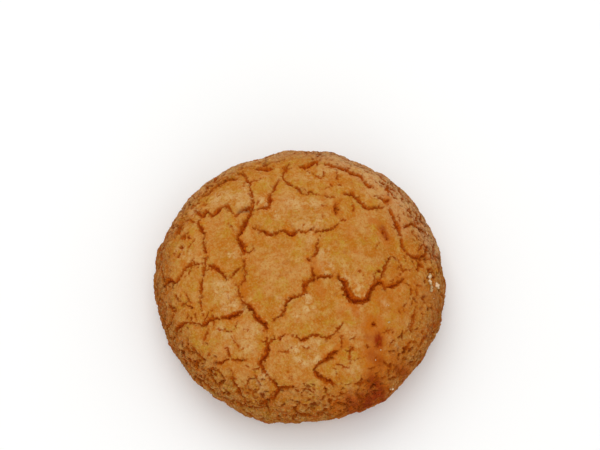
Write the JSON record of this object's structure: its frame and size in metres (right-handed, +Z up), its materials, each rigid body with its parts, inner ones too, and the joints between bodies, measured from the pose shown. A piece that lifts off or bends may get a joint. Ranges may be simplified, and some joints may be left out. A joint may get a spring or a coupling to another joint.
{
  "type": "coconut macaroon",
  "caption": "round baked coconut macaroon, a low dome with a cracked golden-brown crust that rests on its flat underside",
  "frame": {"origin": "middle of the plan outline, on the flat underside", "axes": "+Z up through the crown, +X to the right and +Y away from the viewer of the picture, so that the long tear runs along Y on the -X side"},
  "size_m": [0.0704, 0.0678, 0.0254],
  "materials": {
    "baked_crust": "dry, rough golden-brown baked crust, darker orange-brown inside its cracks"
  },
  "bodies": {
    "root": {"macaroon": "baked_crust"}
  },
  "joints": []
}
